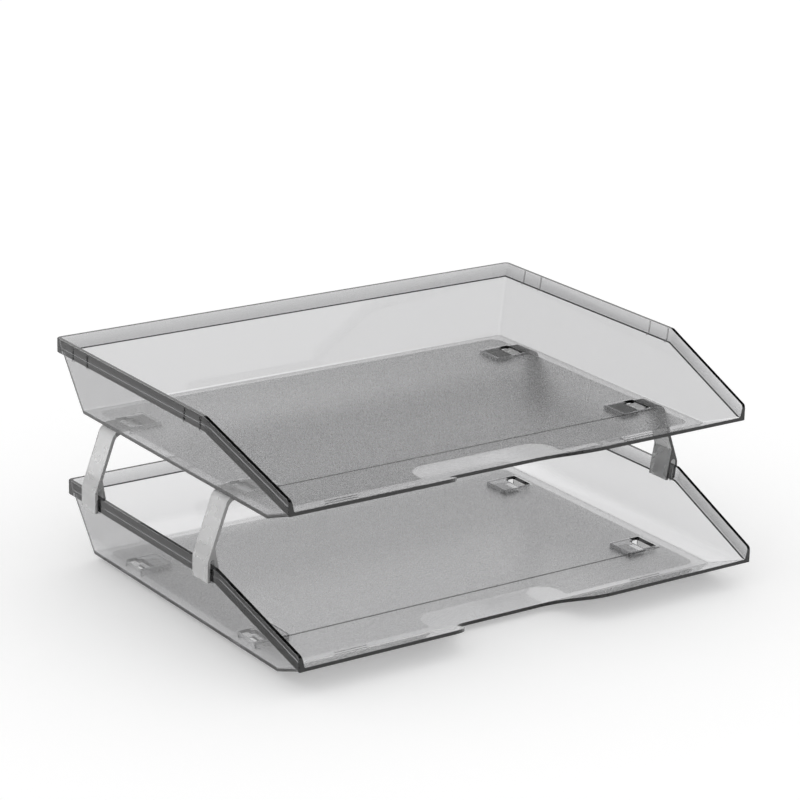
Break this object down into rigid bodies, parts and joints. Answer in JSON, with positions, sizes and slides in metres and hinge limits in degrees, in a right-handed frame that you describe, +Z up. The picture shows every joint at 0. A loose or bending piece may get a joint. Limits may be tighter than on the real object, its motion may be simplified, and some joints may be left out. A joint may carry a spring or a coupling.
{
  "type": "letter tray stack",
  "caption": "See-through letter trays loaded from the wide side and stacked on clear clip-on risers, each with sloping side walls, a ramped front lip and a finger notch.",
  "frame": {"origin": "middle of the stack's footprint, on the desk", "axes": "+X to the right seen from the open front, +Y from the open front to the back wall, +Z up"},
  "size_m": [0.3592, 0.279, 0.1458],
  "materials": {
    "smoke_plastic": "see-through smoke grey, glossy, with a fine matt texture on the floor",
    "clear_plastic": "clear, colourless and glossy"
  },
  "bodies": {
    "lower": {"lower_tray": "smoke_plastic"},
    "upper": {"upper_tray": "smoke_plastic", "riser_back_left": "clear_plastic", "riser_back_right": "clear_plastic", "riser_front_left": "clear_plastic", "riser_front_right": "clear_plastic"}
  },
  "joints": [
    {"name": "lift", "type": "slide", "parent": "lower", "child": "upper", "axis": [0, 0, 1], "range_m": [0, 0.04]}
  ]
}
